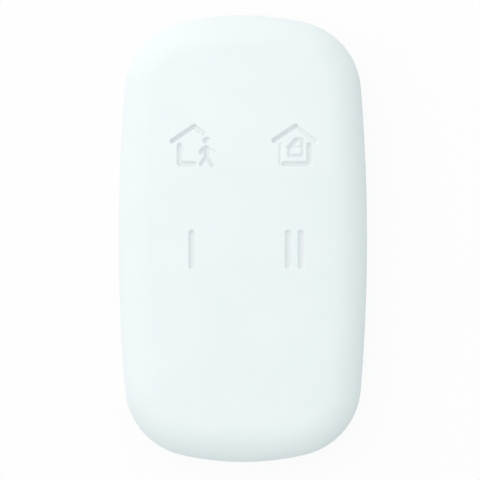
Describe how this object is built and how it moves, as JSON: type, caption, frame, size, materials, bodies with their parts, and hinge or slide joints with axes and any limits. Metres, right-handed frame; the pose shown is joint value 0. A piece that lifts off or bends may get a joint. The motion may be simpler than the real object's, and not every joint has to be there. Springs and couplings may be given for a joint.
{
  "type": "alarm key fob",
  "caption": "Pocket alarm transmitter: crowned seamless soft face over hidden keys, rolled rims, screwed rear cover with a bayonet battery door and a strap bore at the head.",
  "frame": {"origin": "middle of the back face, under the centre of the outline", "axes": "+Z out of the front face with the signs, +Y towards the head end with the strap bore, +X to the right of someone who looks at the front"},
  "size_m": [0.0378, 0.068, 0.0116],
  "materials": {
    "soft_skin": "matt soft-touch elastomer, moulded in off-white",
    "frame_plastic": "fine spark-eroded moulding",
    "cover_plastic": "fine spark-eroded moulding",
    "key_plastic": "plain moulding",
    "screw_steel": "zinc plated",
    "board_laminate": "solder mask over glass laminate",
    "chip_plastic": "moulded chip package",
    "can_metal": "nickel plated can",
    "chip_ceramic": "fired ceramic with tinned ends",
    "spring_metal": "nickel plated spring strip",
    "lamp_resin": "clear resin over a phosphor",
    "guide_clear": "clear moulding",
    "holder_plastic": "black moulding",
    "cell_steel": "rolled stainless steel",
    "switch_plastic": "black moulding",
    "switch_steel": "pressed steel",
    "stem_plastic": "plain moulding",
    "gasket_rubber": "plain elastomer"
  },
  "bodies": {
    "case": {"front_skin": "soft_skin", "front_frame": "frame_plastic", "rear_cover": "cover_plastic", "case_screws": "screw_steel", "circuit_board": "board_laminate", "radio_chip": "chip_plastic", "crystal_can": "can_metal", "chip_parts": "chip_ceramic", "strip_antenna": "spring_metal", "indicator_lamp": "lamp_resin", "light_guide": "guide_clear", "cell_holder": "holder_plastic", "coin_cell": "cell_steel", "cap_contact": "spring_metal", "rim_contact": "spring_metal", "door_gasket": "gasket_rubber", "switch_base_away": "switch_plastic", "switch_cover_away": "switch_steel", "snap_dome_away": "spring_metal", "switch_base_home": "switch_plastic", "switch_cover_home": "switch_steel", "snap_dome_home": "spring_metal", "switch_base_one": "switch_plastic", "switch_cover_one": "switch_steel", "snap_dome_one": "spring_metal", "switch_base_two": "switch_plastic", "switch_cover_two": "switch_steel", "snap_dome_two": "spring_metal"},
    "key_away": {"key_pad_away": "key_plastic", "switch_stem_away": "stem_plastic"},
    "key_home": {"key_pad_home": "key_plastic", "switch_stem_home": "stem_plastic"},
    "key_one": {"key_pad_one": "key_plastic", "switch_stem_one": "stem_plastic"},
    "key_two": {"key_pad_two": "key_plastic", "switch_stem_two": "stem_plastic"},
    "battery_door": {"battery_door": "cover_plastic"}
  },
  "joints": [
    {"name": "press_away", "type": "slide", "parent": "case", "child": "key_away", "axis": [0, 0, -1], "range_m": [0, 0.00035], "stiffness_N_per_m": 5000, "deforming": ["snap_dome_away"]},
    {"name": "press_home", "type": "slide", "parent": "case", "child": "key_home", "axis": [0, 0, -1], "range_m": [0, 0.00035], "stiffness_N_per_m": 5000, "deforming": ["snap_dome_home"]},
    {"name": "press_one", "type": "slide", "parent": "case", "child": "key_one", "axis": [0, 0, -1], "range_m": [0, 0.00035], "stiffness_N_per_m": 5000, "deforming": ["snap_dome_one"]},
    {"name": "press_two", "type": "slide", "parent": "case", "child": "key_two", "axis": [0, 0, -1], "range_m": [0, 0.00035], "stiffness_N_per_m": 5000, "deforming": ["snap_dome_two"]},
    {"name": "door_turn", "type": "hinge", "parent": "case", "child": "battery_door", "pos_m": [0, -0.011, 0.00015], "axis": [0, 0, -1], "range_deg": [0, 40]}
  ]
}
